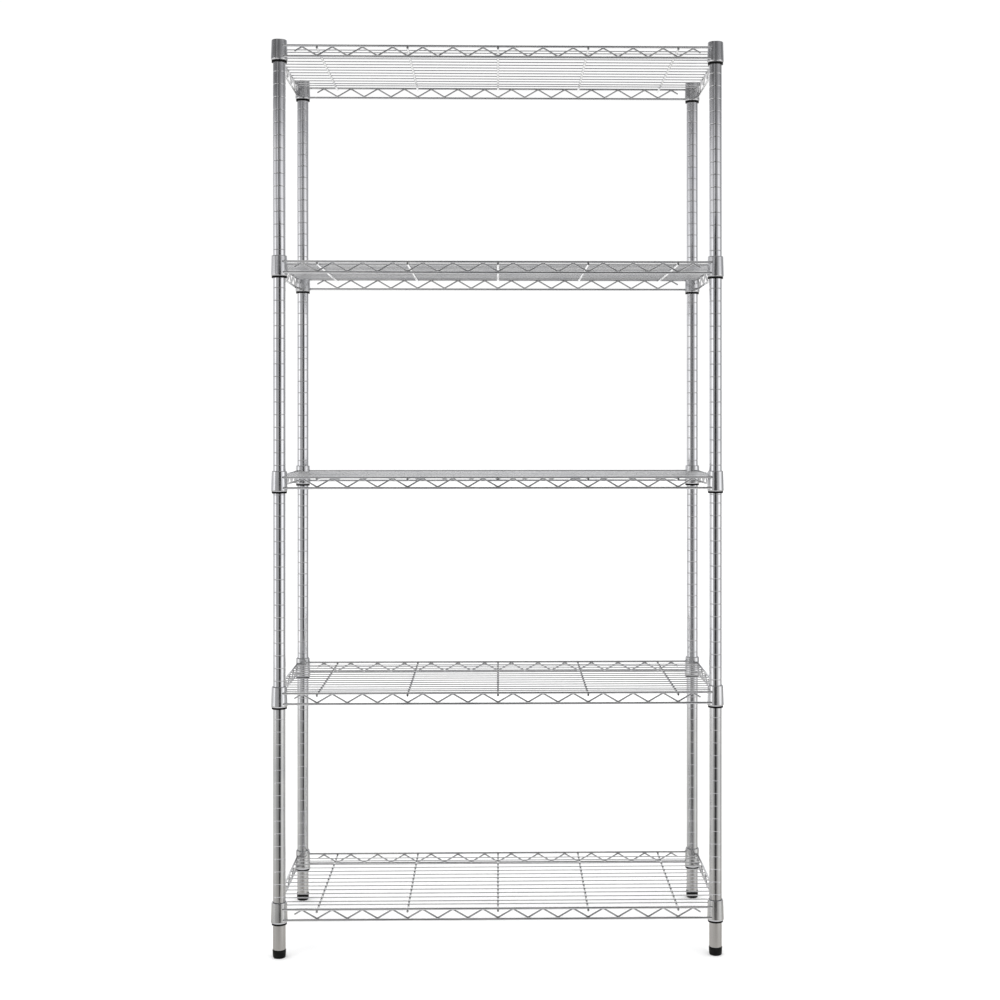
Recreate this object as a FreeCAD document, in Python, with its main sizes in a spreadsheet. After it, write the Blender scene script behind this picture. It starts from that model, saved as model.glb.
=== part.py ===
import FreeCAD, Part
import math
import os
import Sketcher

# A free-standing wire shelving rack: four grooved tube posts, five welded wire shelves that sit on
# tapered split sleeves, and a levelling foot under each post. Millimetres, +Z up, +X to the right,
# the front faces -Y, and the origin is on the floor at the centre of the four posts.

SIZES = {
    # posts
    "post_span_x": 877.0,  # between post axes, left to right
    "post_span_y": 371.0,  # between post axes, front to back
    "post_diameter": 25.4,
    "post_wall": 1.5,
    "post_half_length": 911.0,  # each post is a lower and an upper tube of this length
    "groove_pitch": 25.4,
    "groove_depth": 0.6,
    "groove_floor": 1.0,  # width at the bottom of a groove
    "groove_mouth": 2.6,  # width at the post's surface
    "first_groove": 72.1,  # height of the lowest groove above the floor
    "lower_grooves": 34,
    "upper_grooves": 36,
    # levels
    "shelf_count": 5,
    "grooves_per_level": 17,
    "seat_above_lip": 3.8,  # from the middle of a sleeve's lip up to the first groove inside it
    # split sleeves, heights from the middle of the lip
    "lip_height": 4.0,
    "lip_radius": 15.3,
    "sleeve_radius_low": 15.2,
    "sleeve_radius_top": 13.9,
    "sleeve_top": 38.5,
    "sleeve_split": 0.3,
    "sleeve_rib_depth": 0.45,
    # collars
    "collar_radius_low": 17.0,
    "collar_radius_top": 15.7,
    "collar_low": 2.05,
    "collar_top": 43.0,
    "collar_edge": 0.7,
    "collar_curl_inset": 1.1,  # the lower rim is curled in towards the sleeve
    "collar_curl_height": 3.0,
    # wire frame of a shelf, heights from the middle of the lip
    "rail_outset": 11.5,  # rails lie this far outside the post axes
    "rail_diameter": 5.0,
    "top_rail_level": 30.4,
    "bottom_rail_level": 9.0,
    "weld_depth": 0.5,
    "zigzag_diameter": 3.4,
    "zigzag_pitch": 60.33,
    "zigzag_inset": 2.8,  # how far the zigzag lies inboard of the rails, and its bends between them
    "zigzag_bend": 5.0,
    "front_waves": 6,  # whole waves from the middle of the front to one end
    "side_waves": 2,
    "rib_diameter": 4.6,
    "rib_pitch": 180.99,
    "rib_count": 5,
    "rib_overhang": 1.0,
    "rib_weld": 0.3,
    "deck_diameter": 2.5,
    "deck_pitch": 26.0,
    "deck_pairs": 6,  # evenly spaced wires each side of the middle
    "deck_outer": 164.0,  # the last wire, just inside the collars
    "deck_weld": 0.2,
    # small parts
    "running_gap": 0.05,
    "press_gap": 0.02,
    "foot_gap": 0.3,
    "foot_height": 16.5,
    "foot_radius_top": 13.5,
    "foot_radius_low": 12.75,
    "foot_chamfer": 1.6,
    "foot_socket_depth": 10.0,
    "stud_diameter": 9.5,
    "stud_length": 46.0,
    "insert_length": 26.0,
    "cap_flange": 0.5,
    "cap_length": 14.0,
    "cap_wall": 2.0,
    "coupler_diameter": 15.8,
    "coupler_length": 44.0,
    "thread_chamfer": 1.0,
    "nut_length": 24.0,
}

# Formulas made of the sheet's cells and used in more than one place.
HALF_X = "Sizes.post_span_x / 2"
HALF_Y = "Sizes.post_span_y / 2"
POST_RADIUS = "Sizes.post_diameter / 2"
BORE_RADIUS = "Sizes.post_diameter / 2 - Sizes.post_wall"
SEAM = "Sizes.foot_height + Sizes.post_half_length"
FIRST_LIP = "Sizes.first_groove - Sizes.seat_above_lip"
RAIL_X = HALF_X + " + Sizes.rail_outset"
RAIL_Y = HALF_Y + " + Sizes.rail_outset"
WAVE_TOP = "Sizes.top_rail_level - Sizes.zigzag_inset"
WAVE_LOW = "Sizes.bottom_rail_level + Sizes.zigzag_inset"
RIB_LEVEL = "Sizes.top_rail_level - Sizes.rail_diameter / 2 - Sizes.rib_diameter / 2 + Sizes.rib_weld"
DECK_LEVEL = RIB_LEVEL + " + Sizes.rib_diameter / 2 + Sizes.deck_diameter / 2 - Sizes.deck_weld"

CORNERS = {
    "front_left": (-1, -1),
    "front_right": (1, -1),
    "rear_left": (-1, 1),
    "rear_right": (1, 1),
}

doc = FreeCAD.newDocument("wire_shelving_rack")
sheet = doc.addObject("Spreadsheet::Sheet", "Sizes")
for row, (alias, value) in enumerate(SIZES.items(), start=1):
    sheet.set(f"A{row}", str(value))
    sheet.setAlias(f"A{row}", alias)
doc.recompute()

nodes = []


# ---- helpers -------------------------------------------------------------------------------


def size(formula):
    """The present value of a formula of the sheet's cells."""
    return float(sheet.evalExpression(formula))


def new_body(label, base=("0", "0", "0"), many=False):
    """A sub-part's body, placed at base. many lets it hold several separate solids."""
    body = doc.addObject("PartDesign::Body", label)
    body.Label = label
    body.AllowCompound = many
    for axis, formula in zip("xyz", base):
        body.setExpression(f"Placement.Base.{axis}", f"({formula}) * 1mm")
    nodes.append(body)
    return body


def origin_plane(body, role):
    """One of the body's own origin planes or axes."""
    for feature in body.Origin.OriginFeatures:
        if feature.Role == role:
            return feature
    raise ValueError(role)


def new_sketch(body, name, plane, offset=("0", "0", "0")):
    """A sketch on one of the body's origin planes, moved by offset in the plane's own axes."""
    sketch = body.newObject("Sketcher::SketchObject", name)
    sketch.AttachmentSupport = [(origin_plane(body, plane), "")]
    sketch.MapMode = "FlatFace"
    for axis, formula in zip("xyz", offset):
        sketch.setExpression(f"AttachmentOffset.Base.{axis}", f"({formula}) * 1mm")
    return sketch


def bound(sketch, constraint, name, formula):
    """Add a constraint whose value follows a formula."""
    index = sketch.addConstraint(constraint)
    sketch.renameConstraint(index, name)
    sketch.setExpression(f"Constraints.{name}", f"({formula}) * 1mm")


def fix_point(sketch, name, geometry, point, across, up):
    """Hold one point of a sketch at (across, up)."""
    bound(sketch, Sketcher.Constraint("DistanceX", geometry, point, size(across)), name + "_across", across)
    bound(sketch, Sketcher.Constraint("DistanceY", geometry, point, size(up)), name + "_up", up)


def add_circle(sketch, name, across, up, radius):
    """A circle held at (across, up)."""
    centre = FreeCAD.Vector(size(across), size(up), 0)
    index = sketch.addGeometry(Part.Circle(centre, FreeCAD.Vector(0, 0, 1), size(radius)))
    fix_point(sketch, name, index, 3, across, up)
    bound(sketch, Sketcher.Constraint("Radius", index, size(radius)), name + "_radius", radius)


def add_outline(sketch, corners):
    """A closed outline of straight edges through corners, each a pair of formulas (across, up)."""
    points = [FreeCAD.Vector(size(across), size(up), 0) for across, up in corners]
    following = points[1:] + points[:1]
    edges = sketch.addGeometry([Part.LineSegment(a, b) for a, b in zip(points, following)], False)
    following_edges = edges[1:] + edges[:1]
    joints = [Sketcher.Constraint("Coincident", a, 2, b, 1) for a, b in zip(edges, following_edges)]
    sketch.addConstraint(joints)
    places = []
    for edge, point in zip(edges, points):
        places.append(Sketcher.Constraint("DistanceX", edge, 1, point.x))
        places.append(Sketcher.Constraint("DistanceY", edge, 1, point.y))
    formulas = [formula for corner in corners for formula in corner]
    for index, formula in zip(sketch.addConstraint(places), formulas):
        sketch.setExpression(f"Constraints[{index}]", f"({formula}) * 1mm")


def pad(body, sketch, length, symmetric=False):
    """Extrude a sketch along its normal, or half each way."""
    feature = body.newObject("PartDesign::Pad", sketch.Name + "_pad")
    feature.Profile = sketch
    feature.SideType = "Symmetric" if symmetric else "One side"
    feature.setExpression("Length", f"({length}) * 1mm")
    return feature


def cut_through(body, sketch):
    """Cut a sketch's outline both ways through everything."""
    doc.recompute()
    before = body.Shape.Volume
    feature = body.newObject("PartDesign::Pocket", sketch.Name + "_cut")
    feature.Profile = sketch
    feature.SideType = "Symmetric"
    feature.Type = "ThroughAll"
    doc.recompute()
    if not feature.Shape.Volume < before:
        raise RuntimeError(f"{feature.Name} cuts nothing")


def turn(body, sketch):
    """Turn a sketch all the way round its own upright axis."""
    feature = body.newObject("PartDesign::Revolution", sketch.Name + "_turned")
    feature.Profile = sketch
    feature.ReferenceAxis = (sketch, ["V_Axis"])
    feature.Angle = 360


def repeat(body, feature, axis, pitch, count):
    """Repeat a feature along one of the body's axes."""
    pattern = body.newObject("PartDesign::LinearPattern", feature.Name + "_row")
    pattern.Originals = [feature]
    pattern.Direction = (origin_plane(body, axis), [""])
    pattern.Mode = "Spacing"
    pattern.setExpression("Offset", f"({pitch}) * 1mm")
    pattern.setExpression("Occurrences", count)
    body.Tip = pattern


def mirror_all(body, plane):
    """Mirror everything in the body across one of its planes and keep both sides."""
    mirrored = body.newObject("PartDesign::Mirrored", f"{body.Name}_{plane}_mirror")
    mirrored.MirrorPlane = (origin_plane(body, plane), [""])
    mirrored.TransformMode = "Whole shape"
    mirrored.Refine = True
    body.Tip = mirrored
    doc.recompute()


def copy_of(model, label, place):
    """A sub-part with the same shape as another one, in a place of its own."""
    body = new_body(label, place, many=model.AllowCompound)
    twin = body.newObject("PartDesign::FeatureBase", label + "_copy")
    twin.BaseFeature = model
    body.Tip = twin


def corner_place(corner, height):
    """Formulas for a point on a corner's post axis."""
    side_x, side_y = CORNERS[corner]
    return f"{side_x} * {HALF_X}", f"{side_y} * {HALF_Y}", height


def turned_at_origin(label, place, outline):
    """A sub-part turned about its own upright axis."""
    body = new_body(label, place)
    sketch = new_sketch(body, label + "_outline", "XZ_Plane")
    add_outline(sketch, outline)
    turn(body, sketch)
    return body


def corner_turned(body, name, outline):
    """A turned solid on the front right post's axis, from an outline of (radius, height)."""
    sketch = new_sketch(body, name, "XZ_Plane", (HALF_X, "0", HALF_Y))
    add_outline(sketch, outline)
    turn(body, sketch)


def mirror_to_corners(body):
    """Mirror the front right quarter to the other three corners."""
    mirror_all(body, "YZ_Plane")
    mirror_all(body, "XZ_Plane")


# ---- posts ---------------------------------------------------------------------------------


def build_post_half(label, corner, bottom, first_groove, groove_count):
    """A chrome tube with a shallow rolled groove every inch, turned from its wall's outline."""
    floor = POST_RADIUS + " - Sizes.groove_depth"
    outline = [(BORE_RADIUS, "0"), (POST_RADIUS, "0")]
    for index in range(int(size(groove_count))):
        middle = f"{first_groove} + {index} * Sizes.groove_pitch - ({bottom})"
        outline += [
            (POST_RADIUS, f"{middle} - Sizes.groove_mouth / 2"),
            (floor, f"{middle} - Sizes.groove_floor / 2"),
            (floor, f"{middle} + Sizes.groove_floor / 2"),
            (POST_RADIUS, f"{middle} + Sizes.groove_mouth / 2"),
        ]
    outline += [(POST_RADIUS, "Sizes.post_half_length"), (BORE_RADIUS, "Sizes.post_half_length")]
    return turned_at_origin(label, corner_place(corner, bottom), outline)


def build_posts():
    """Four posts, each a lower and an upper tube that meet in the middle."""
    upper_first = "Sizes.first_groove + Sizes.lower_grooves * Sizes.groove_pitch"
    halves = [
        ("lower_post", "Sizes.foot_height", "Sizes.first_groove", "Sizes.lower_grooves"),
        ("upper_post", SEAM, upper_first, "Sizes.upper_grooves"),
    ]
    first_corner, *other_corners = CORNERS
    for name, bottom, first_groove, groove_count in halves:
        model = build_post_half(f"{first_corner}_{name}", first_corner, bottom, first_groove, groove_count)
        for corner in other_corners:
            copy_of(model, f"{corner}_{name}", corner_place(corner, bottom))


def build_post_caps():
    """A plastic cap pressed into the top of each post, a thin flange over a hollow plug."""
    body = new_body("post_caps", ("0", "0", SEAM + " + Sizes.post_half_length"), many=True)
    plug = BORE_RADIUS + " - Sizes.press_gap"
    hollow = plug + " - Sizes.cap_wall"
    outline = [
        ("0", "Sizes.cap_flange"),
        ("0", "-Sizes.cap_wall"),
        (hollow, "-Sizes.cap_wall"),
        (hollow, "-Sizes.cap_length"),
        (plug, "-Sizes.cap_length"),
        (plug, "0"),
        (POST_RADIUS, "0"),
        (POST_RADIUS + " - Sizes.cap_flange / 2", "Sizes.cap_flange"),
    ]
    corner_turned(body, "cap_outline", outline)
    mirror_to_corners(body)


def build_post_couplers():
    """A threaded stud across the seam of each post."""
    body = new_body("post_couplers", ("0", "0", SEAM), many=True)
    radius = "Sizes.coupler_diameter / 2"
    half = "Sizes.coupler_length / 2"
    outline = [
        ("0", f"-{half}"),
        (f"{radius} - Sizes.thread_chamfer", f"-{half}"),
        (radius, f"-{half} + Sizes.thread_chamfer"),
        (radius, f"{half} - Sizes.thread_chamfer"),
        (f"{radius} - Sizes.thread_chamfer", half),
        ("0", half),
    ]
    corner_turned(body, "coupler_outline", outline)
    mirror_to_corners(body)


def add_ring(body, name, hole, bottom, length):
    """A ring on the front right post's axis that fills the tube around a hole."""
    outside = BORE_RADIUS + " - Sizes.press_gap"
    top = f"{bottom} + {length}"
    outline = [(hole, bottom), (outside, bottom), (outside, top), (hole, top)]
    corner_turned(body, name, outline)


def build_coupler_nuts():
    """A threaded ring pressed into each end that meets at a seam, two for each coupler."""
    body = new_body("coupler_nuts", ("0", "0", SEAM), many=True)
    hole = "Sizes.coupler_diameter / 2 + Sizes.press_gap"
    add_ring(body, "lower_nut", hole, "-Sizes.nut_length", "Sizes.nut_length - Sizes.press_gap")
    add_ring(body, "upper_nut", hole, "Sizes.press_gap", "Sizes.nut_length - Sizes.press_gap")
    mirror_to_corners(body)


def build_foot_inserts():
    """A threaded ring pressed into the bottom of each post."""
    body = new_body("foot_inserts", ("0", "0", "Sizes.foot_height"), many=True)
    hole = "Sizes.stud_diameter / 2 + Sizes.running_gap"
    add_ring(body, "insert", hole, "0", "Sizes.insert_length")
    mirror_to_corners(body)


# ---- feet ----------------------------------------------------------------------------------
# A levelling foot is a tapered plastic pad moulded round the lower end of a threaded stud.

STUD_RADIUS = "Sizes.stud_diameter / 2"
PAD_TOP = "Sizes.foot_height - Sizes.foot_gap"
STUD_LOW = f"{PAD_TOP} - Sizes.foot_socket_depth"


def build_foot_pad(label, place):
    """The tapered pad, with a socket for the stud."""
    outline = [
        ("0", "0"),
        ("Sizes.foot_radius_low - Sizes.foot_chamfer", "0"),
        ("Sizes.foot_radius_low", "Sizes.foot_chamfer"),
        ("Sizes.foot_radius_top", PAD_TOP),
        (STUD_RADIUS, PAD_TOP),
        (STUD_RADIUS, STUD_LOW),
        ("0", STUD_LOW),
    ]
    return turned_at_origin(label, place, outline)


def build_foot_stud(label, place):
    """The steel stud, which screws up into the post's insert."""
    tip = f"{STUD_LOW} + Sizes.stud_length"
    outline = [
        ("0", STUD_LOW),
        (STUD_RADIUS, STUD_LOW),
        (STUD_RADIUS, f"{tip} - Sizes.thread_chamfer"),
        (f"{STUD_RADIUS} - Sizes.thread_chamfer", tip),
        ("0", tip),
    ]
    return turned_at_origin(label, place, outline)


def build_feet():
    """A pad and a stud under each post."""
    first_corner, *other_corners = CORNERS
    for name, build in (("foot_pad", build_foot_pad), ("foot_stud", build_foot_stud)):
        model = build(f"{first_corner}_{name}", corner_place(first_corner, "0"))
        for corner in other_corners:
            copy_of(model, f"{corner}_{name}", corner_place(corner, "0"))


# ---- shelves -------------------------------------------------------------------------------
# Each shelf's pieces share one frame: the middle of the rack, at the height of the sleeves' lips.
# The lowest shelf's pieces are drawn here, and the other shelves' pieces are copies of them.


def shelf_place(level, shift="0"):
    """Formulas for the frame of the shelf at this level, counted from the bottom, or beside it by shift."""
    return shift, "0", f"{FIRST_LIP} + {level - 1} * Sizes.grooves_per_level * Sizes.groove_pitch"


def shelf_body(name):
    """A body of the lowest shelf."""
    return new_body(f"shelf_1_{name}", shelf_place(1), many=True)


def build_sleeves():
    """Split tapered sleeves on the two right posts, with a lip below and a rib that snaps in a groove."""
    body = shelf_body("right_sleeves")
    inside = POST_RADIUS + " + Sizes.running_gap"
    half_lip = "Sizes.lip_height / 2"
    rib = "(Sizes.seat_above_lip + Sizes.groove_pitch)"
    rib_tip = inside + " - Sizes.sleeve_rib_depth"
    outline = [
        (inside, f"-{half_lip}"),
        ("Sizes.lip_radius", f"-{half_lip}"),
        ("Sizes.lip_radius", half_lip),
        ("Sizes.sleeve_radius_low", half_lip),
        ("Sizes.sleeve_radius_top", "Sizes.sleeve_top"),
        (inside, "Sizes.sleeve_top"),
        (inside, f"{rib} + 2 * Sizes.sleeve_rib_depth"),
        (rib_tip, f"{rib} + Sizes.sleeve_rib_depth"),
        (rib_tip, f"{rib} - Sizes.sleeve_rib_depth"),
        (inside, f"{rib} - 2 * Sizes.sleeve_rib_depth"),
    ]
    corner_turned(body, body.Name + "_outline", outline)

    split = new_sketch(body, body.Name + "_split", "XY_Plane", (HALF_X, f"-{HALF_Y}", "0"))
    reach = "2 * Sizes.lip_radius"
    half_split = "Sizes.sleeve_split / 2"
    corners = [
        (f"-{reach}", f"-{half_split}"),
        (reach, f"-{half_split}"),
        (reach, half_split),
        (f"-{reach}", half_split),
    ]
    add_outline(split, corners)
    cut_through(body, split)
    mirror_all(body, "XZ_Plane")
    return body


def collar_radius(height):
    """The collar's outer radius at a height above the lip."""
    fall = "(Sizes.collar_radius_low - Sizes.collar_radius_top) / (Sizes.collar_top - Sizes.collar_low)"
    return f"(Sizes.collar_radius_low - ({height} - Sizes.collar_low) * {fall})"


def sleeve_radius(height):
    """The sleeve's outer radius at a height above the lip, carried on past its top."""
    fall = "(Sizes.sleeve_radius_low - Sizes.sleeve_radius_top) / (Sizes.sleeve_top - Sizes.lip_height / 2)"
    return f"(Sizes.sleeve_radius_low - ({height} - Sizes.lip_height / 2) * {fall})"


def build_collars():
    """The shelf's tapered corner collars, whose bores fit the sleeves' taper."""
    body = shelf_body("collars")
    low = "Sizes.collar_low"
    top = "Sizes.collar_top"
    edge = "Sizes.collar_edge"
    curl_middle = low + " + Sizes.collar_curl_height / 3"
    curl_top = low + " + Sizes.collar_curl_height"
    outline = [
        (f"{sleeve_radius(low)} + Sizes.running_gap", low),
        (f"{collar_radius(low)} - Sizes.collar_curl_inset", low),
        (f"{collar_radius(curl_middle)} - Sizes.collar_curl_inset / 3", curl_middle),
        (collar_radius(curl_top), curl_top),
        (collar_radius(top), f"{top} - {edge}"),
        (f"{collar_radius(top)} - {edge}", top),
        (f"{sleeve_radius(top)} + Sizes.running_gap", top),
    ]
    corner_turned(body, body.Name + "_outline", outline)
    mirror_to_corners(body)


def build_rails(name, height):
    """Front, rear and side rails at one height, their ends coped to the collars they are welded to."""
    body = shelf_body(name)
    radius = "Sizes.rail_diameter / 2"
    front = new_sketch(body, body.Name + "_front", "YZ_Plane")
    add_circle(front, "wire", f"-({RAIL_Y})", height, radius)
    pad(body, front, HALF_X)
    side = new_sketch(body, body.Name + "_side", "XZ_Plane")
    add_circle(side, "wire", RAIL_X, height, radius)
    pad(body, side, HALF_Y)

    cope = new_sketch(body, body.Name + "_cope", "XY_Plane", (HALF_X, f"-{HALF_Y}", "0"))
    add_circle(cope, "cope", "0", "0", f"{collar_radius(height)} - Sizes.weld_depth")
    cut_through(body, cope)
    mirror_to_corners(body)


def add_bend(sketch, name, across, up, first_angle, last_angle):
    """A zigzag bend: an arc with a fixed centre and radius, whose ends are free to slide round."""
    centre = FreeCAD.Vector(size(across), size(up), 0)
    circle = Part.Circle(centre, FreeCAD.Vector(0, 0, 1), size("Sizes.zigzag_bend"))
    index = sketch.addGeometry(Part.ArcOfCircle(circle, first_angle, last_angle))
    fix_point(sketch, name, index, 3, across, up)
    bound(sketch, Sketcher.Constraint("Radius", index, circle.Radius), name + "_radius", "Sizes.zigzag_bend")
    return index


def add_run(sketch, bend, bend_end, target):
    """A straight run of the zigzag, tangent to a bend at its start, that ends near target."""
    start = sketch.getPoint(bend, bend_end)
    run = sketch.addGeometry(Part.LineSegment(start, target))
    sketch.addConstraint(Sketcher.Constraint("Tangent", run, 1, bend, bend_end))
    return run


def wave_path(sketch, start, whole):
    """One wave of the zigzag: from a low bend over a high one, and down to the next low bend, or
    only half-way down to a free end."""
    low_centre = WAVE_LOW + " + Sizes.zigzag_bend"
    top_centre = WAVE_TOP + " - Sizes.zigzag_bend"
    crest = f"{start} + Sizes.zigzag_pitch / 2"
    rise = FreeCAD.Vector(size("Sizes.zigzag_pitch / 2"), size(f"{top_centre} - ({low_centre})"), 0)
    slope = math.atan2(rise.y, rise.x) + math.asin(2 * size("Sizes.zigzag_bend") / rise.Length)
    quarter = math.pi / 2

    low = add_bend(sketch, "low", start, low_centre, -quarter, slope - quarter)
    bound(sketch, Sketcher.Constraint("DistanceX", low, 1, size(start)), "low_start", start)
    top = add_bend(sketch, "top", crest, top_centre, quarter - slope, quarter + slope)
    rising = add_run(sketch, low, 2, sketch.getPoint(top, 2))
    sketch.addConstraint(Sketcher.Constraint("Tangent", rising, 2, top, 2))
    if whole:
        end = f"{start} + Sizes.zigzag_pitch"
        after = add_bend(sketch, "after", end, low_centre, -quarter - slope, -quarter)
        bound(sketch, Sketcher.Constraint("DistanceX", after, 2, size(end)), "after_end", end)
        falling = add_run(sketch, top, 1, sketch.getPoint(after, 1))
        sketch.addConstraint(Sketcher.Constraint("Tangent", falling, 2, after, 1))
    else:
        end = f"{start} + Sizes.zigzag_pitch * 3 / 4"
        middle = f"({WAVE_TOP} + {WAVE_LOW}) / 2"
        tail = add_run(sketch, top, 1, FreeCAD.Vector(size(end), size(middle), 0))
        fix_point(sketch, "tail", tail, 2, end, middle)


def add_wave(body, name, side, start, whole):
    """Sweep the zigzag's wire along one wave of its path."""
    path = new_sketch(body, name + "_path", side["path_plane"], ("0", "0", side["distance"]))
    wave_path(path, start, whole)
    shift = f"{side['section_shift']} ({start})"
    section = new_sketch(body, name + "_section", side["section_plane"], ("0", "0", shift))
    across = f"{side['section_side']} ({side['distance']})"
    add_circle(section, "wire", across, WAVE_LOW, "Sizes.zigzag_diameter / 2")
    sweep = body.newObject("PartDesign::AdditivePipe", name)
    sweep.Profile = section
    sweep.Spine = (path, [])
    return sweep


def add_half_zigzag(body, name, side, waves):
    """The zigzag from the middle of one side to its free end."""
    wave = add_wave(body, name, side, "0", True)
    repeat(body, wave, side["axis"], "Sizes.zigzag_pitch", waves)
    add_wave(body, name + "_end", side, f"{waves} * Sizes.zigzag_pitch", False)


def build_zigzags():
    """The zigzag wires between the rails on all four sides."""
    # A sketch on the XZ plane looks towards -Y, and one on the YZ plane towards +X, which is why
    # the signs of the two sides are opposite.
    front = {
        "path_plane": "XZ_Plane",
        "section_plane": "YZ_Plane",
        "section_shift": "",
        "section_side": "-",
        "distance": f"{RAIL_Y} - Sizes.zigzag_inset",
        "axis": "X_Axis",
    }
    right = {
        "path_plane": "YZ_Plane",
        "section_plane": "XZ_Plane",
        "section_shift": "-",
        "section_side": "",
        "distance": f"{RAIL_X} - Sizes.zigzag_inset",
        "axis": "Y_Axis",
    }
    body = shelf_body("zigzag_wires")
    add_half_zigzag(body, body.Name + "_front", front, "Sizes.front_waves")
    add_half_zigzag(body, body.Name + "_right", right, "Sizes.side_waves")
    mirror_to_corners(body)


def build_cross_ribs():
    """The heavy wires under the deck, welded up against the front and rear top rails."""
    body = shelf_body("cross_ribs")
    first = "-(Sizes.rib_count - 1) / 2 * Sizes.rib_pitch"
    section = new_sketch(body, body.Name + "_section", "XZ_Plane")
    add_circle(section, "rib", first, RIB_LEVEL, "Sizes.rib_diameter / 2")
    reach = f"{RAIL_Y} + Sizes.rail_diameter / 2 + Sizes.rib_overhang"
    rib = pad(body, section, f"2 * ({reach})", symmetric=True)
    repeat(body, rib, "X_Axis", "Sizes.rib_pitch", "Sizes.rib_count")


def build_deck_wires():
    """The thin wires of the deck, laid on the ribs and welded between the side rails."""
    body = shelf_body("deck_wires")
    reach = f"{RAIL_X} - Sizes.rail_diameter / 2 + Sizes.weld_depth"
    radius = "Sizes.deck_diameter / 2"
    inner = new_sketch(body, body.Name + "_inner", "YZ_Plane")
    add_circle(inner, "wire", "Sizes.deck_pitch / 2", DECK_LEVEL, radius)
    wire = pad(body, inner, f"2 * ({reach})", symmetric=True)
    repeat(body, wire, "Y_Axis", "Sizes.deck_pitch", "Sizes.deck_pairs")
    outer = new_sketch(body, body.Name + "_outer", "YZ_Plane")
    add_circle(outer, "wire", "Sizes.deck_outer", DECK_LEVEL, radius)
    pad(body, outer, f"2 * ({reach})", symmetric=True)
    mirror_all(body, "XZ_Plane")


def build_shelves():
    """The lowest shelf, the sleeves it sits on, and their copies at the levels above."""
    first = len(nodes)
    sleeves = build_sleeves()
    build_collars()
    build_rails("top_rails", "Sizes.top_rail_level")
    build_rails("bottom_rails", "Sizes.bottom_rail_level")
    build_zigzags()
    build_cross_ribs()
    build_deck_wires()
    models = nodes[first:]
    levels = range(1, int(size("Sizes.shelf_count")) + 1)
    for level in levels[1:]:
        for model in models:
            copy_of(model, model.Label.replace("shelf_1", f"shelf_{level}"), shelf_place(level))
    for level in levels:
        copy_of(sleeves, f"shelf_{level}_left_sleeves", shelf_place(level, "-Sizes.post_span_x"))


# ---- make and write ------------------------------------------------------------------------


def check_and_write():
    """Stop on any object that failed, then write each sub-part to its own file."""
    for item in doc.Objects:
        if "Invalid" in item.State or "Error" in item.State:
            raise RuntimeError(f"{item.Name} failed: {item.getStatusString()}")
    for body in nodes:
        if body.Shape.isNull() or not body.Shape.isValid():
            raise RuntimeError(f"{body.Label} has no valid shape")
    os.makedirs("parts", exist_ok=True)
    for body in nodes:
        body.Shape.exportStep(f"parts/{body.Label}.step")


build_posts()
build_post_caps()
build_post_couplers()
build_coupler_nuts()
build_foot_inserts()
build_feet()
build_shelves()
doc.recompute()
check_and_write()
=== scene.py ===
import math

import bmesh
import bpy
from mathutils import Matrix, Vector


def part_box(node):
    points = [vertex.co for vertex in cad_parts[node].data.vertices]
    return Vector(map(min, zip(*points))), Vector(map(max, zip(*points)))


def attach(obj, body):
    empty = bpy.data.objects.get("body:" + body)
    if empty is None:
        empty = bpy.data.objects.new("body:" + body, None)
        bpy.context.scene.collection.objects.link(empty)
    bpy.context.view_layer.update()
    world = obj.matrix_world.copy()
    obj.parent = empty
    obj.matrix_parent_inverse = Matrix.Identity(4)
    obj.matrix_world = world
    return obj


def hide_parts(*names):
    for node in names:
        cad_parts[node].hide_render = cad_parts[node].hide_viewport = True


# The looks of a chrome wire shelving rack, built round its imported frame. Metres, +Z up, +X to the
# right, and the front faces -Y. Heights and places come from the frame's boxes, and the sizes that a
# box does not give are named here.

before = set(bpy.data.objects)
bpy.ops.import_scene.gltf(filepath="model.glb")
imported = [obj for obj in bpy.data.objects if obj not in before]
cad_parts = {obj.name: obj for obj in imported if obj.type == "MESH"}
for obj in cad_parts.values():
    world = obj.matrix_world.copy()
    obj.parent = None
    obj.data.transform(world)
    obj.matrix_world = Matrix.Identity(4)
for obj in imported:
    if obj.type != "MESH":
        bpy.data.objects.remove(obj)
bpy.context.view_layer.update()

MM = 0.001
UP = Vector((0, 0, 1))
FULL_TURN = 2 * math.pi
CORNERS = ("front_left", "front_right", "rear_left", "rear_right")
SHELVES = ("shelf_1", "shelf_2", "shelf_3", "shelf_4", "shelf_5")

# posts
POST_RADIUS = 12.7 * MM
POST_BORE = 11.2 * MM
GROOVE_PITCH = 25.4 * MM
FIRST_GROOVE = 72.1 * MM
GROOVE_DEPTH = 0.22 * MM
GROOVE_FLOOR = 0.6 * MM
GROOVE_MOUTH = 2.0 * MM
GROOVE_SOFTNESS = 1.2 * MM
CAP_FLANGE = 0.5 * MM
CAP_WALL = 2.0 * MM
CAP_GAP = 0.03 * MM

# sleeves and collars
SLEEVE_BORE = 12.75 * MM
SLEEVE_LOW = 15.2 * MM
SLEEVE_TOP = 13.9 * MM
LIP_RADIUS = 15.3 * MM
LIP_HEIGHT = 4.0 * MM
SLEEVE_EDGE = 0.5 * MM
SLEEVE_GAP = 0.3 * MM
COLLAR_LOW = 16.85 * MM
COLLAR_TOP = 15.65 * MM
COLLAR_BORE_LOW = 15.25 * MM
COLLAR_BORE_TOP = 13.79 * MM
# How far each rim of a collar is rolled in, and how tall the roll is.
COLLAR_FOOT = (1.3 * MM, 3.2 * MM)
COLLAR_SHOULDER = (0.8 * MM, 1.6 * MM)

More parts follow.
